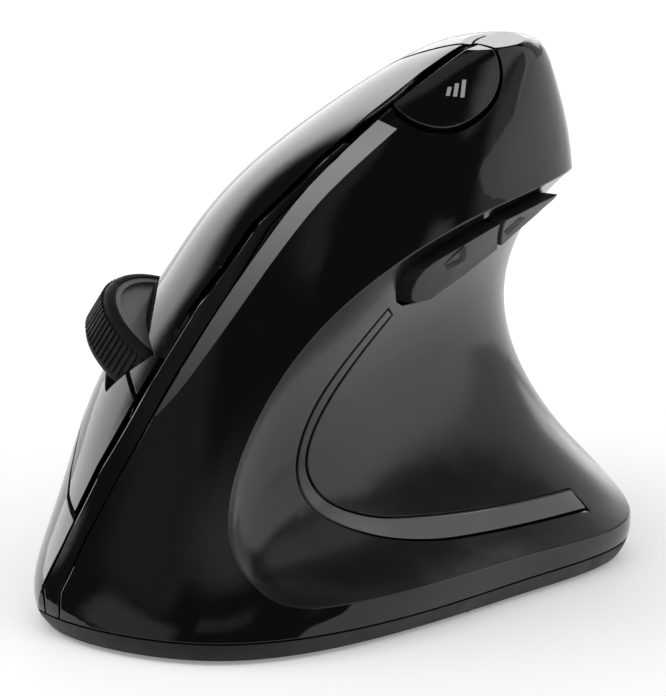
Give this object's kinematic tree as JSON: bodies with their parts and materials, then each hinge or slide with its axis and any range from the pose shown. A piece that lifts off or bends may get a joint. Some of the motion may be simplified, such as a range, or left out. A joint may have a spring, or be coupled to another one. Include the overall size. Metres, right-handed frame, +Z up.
{
  "type": "vertical mouse",
  "caption": "Right-handed cordless vertical mouse: a tall leaning shell with a thumb scoop, finger panel, scroll wheel, side and resolution buttons, and a battery bay in the base.",
  "frame": {"origin": "on the desk, under the middle of the mouse's box", "axes": "+Z up, -Y towards the nose, +Y towards the palm, +X towards the thumb, -X towards the fingers"},
  "size_m": [0.0648, 0.1202, 0.071],
  "materials": {
    "gloss_black": "glossy dark plastic",
    "soft_black": "satin dark plastic",
    "panel_black": "glossy dark plastic, a little greyer",
    "trim_grey": "satin grey plastic",
    "tyre_rubber": "matte black rubber",
    "hub_grey": "glossy grey plastic",
    "base_black": "finely textured black plastic",
    "inner_black": "plain black plastic",
    "foot_slip": "smooth slip pad",
    "steel": "plated steel",
    "nickel": "nickel-plated sheet",
    "board_green": "circuit board",
    "switch_black": "black moulded plastic",
    "cell_silver": "plain silver sleeve",
    "lens_clear": "clear plastic"
  },
  "bodies": {
    "casing": {"back_switch": "switch_black", "base_plate": "base_black", "battery_cells": "cell_silver", "battery_plate": "nickel", "battery_springs": "nickel", "case_screws": "steel", "controller_chip": "switch_black", "forward_switch": "switch_black", "front_foot": "foot_slip", "front_shell": "gloss_black", "inner_frame": "inner_black", "light_source": "lens_clear", "lower_switch": "switch_black", "main_board": "board_green", "main_board_screws": "steel", "middle_switch": "switch_black", "motion_sensor": "switch_black", "palm_shell": "gloss_black", "pivot_pin": "steel", "pivot_stand": "inner_black", "power_switch": "switch_black", "rear_feet": "foot_slip", "receiver_cap": "inner_black", "receiver_plug": "steel", "resolution_board": "board_green", "resolution_switch": "switch_black", "ridge_trim": "gloss_black", "sensor_lens": "lens_clear", "side_board": "board_green", "slope_board": "board_green", "slope_board_screws": "steel", "thumb_trim": "trim_grey", "upper_switch": "switch_black", "wheel_encoder": "switch_black"},
    "upper_click": {"upper_click_button": "panel_black"},
    "lower_click": {"lower_click_button": "panel_black"},
    "carrier": {"wheel_carrier": "inner_black"},
    "wheel": {"wheel_tyre": "tyre_rubber", "wheel_hub": "hub_grey", "wheel_axle": "steel"},
    "forward": {"forward_button": "soft_black"},
    "back": {"back_button": "soft_black"},
    "resolution": {"resolution_button": "gloss_black"},
    "slider": {"power_slider": "base_black"},
    "door": {"battery_door": "base_black"}
  },
  "joints": [
    {"name": "upper_click_press", "type": "hinge", "parent": "casing", "child": "upper_click", "pos_m": [-0.02614, 0.01001, 0.03656], "axis": [0.5299, 0, 0.848], "range_deg": [0, 0.5], "stiffness_Nm_per_rad": 0.8, "springref_deg": -0.57},
    {"name": "lower_click_press", "type": "hinge", "parent": "casing", "child": "lower_click", "pos_m": [-0.02614, 0.01001, 0.03656], "axis": [0.5299, 0, 0.848], "range_deg": [0, 0.5], "stiffness_Nm_per_rad": 0.8, "springref_deg": -0.57},
    {"name": "wheel_press", "type": "hinge", "parent": "casing", "child": "carrier", "pos_m": [-0.01723, -0.00098, 0.031], "axis": [0.5299, 0, 0.848], "range_deg": [0, 1.6], "stiffness_Nm_per_rad": 0.4, "springref_deg": -1.15},
    {"name": "wheel_spin", "type": "hinge", "parent": "carrier", "child": "wheel", "pos_m": [-0.01723, -0.01898, 0.031], "axis": [0.5299, 0, 0.848], "continuous": true},
    {"name": "forward_press", "type": "slide", "parent": "casing", "child": "forward", "axis": [-1, 0, 0], "range_m": [0, 0.0005], "stiffness_N_per_m": 800, "springref_m": -0.0004},
    {"name": "back_press", "type": "slide", "parent": "casing", "child": "back", "axis": [-1, 0, 0], "range_m": [0, 0.0005], "stiffness_N_per_m": 800, "springref_m": -0.0004},
    {"name": "resolution_press", "type": "slide", "parent": "casing", "child": "resolution", "axis": [-0.499, 0.5389, -0.6786], "range_m": [0, 0.0005], "stiffness_N_per_m": 800, "springref_m": -0.0004},
    {"name": "power_slide", "type": "slide", "parent": "casing", "child": "slider", "axis": [1, 0, 0], "range_m": [0, 0.003]},
    {"name": "door_slide", "type": "slide", "parent": "casing", "child": "door", "axis": [0, 1, 0], "range_m": [0, 0.01]}
  ]
}
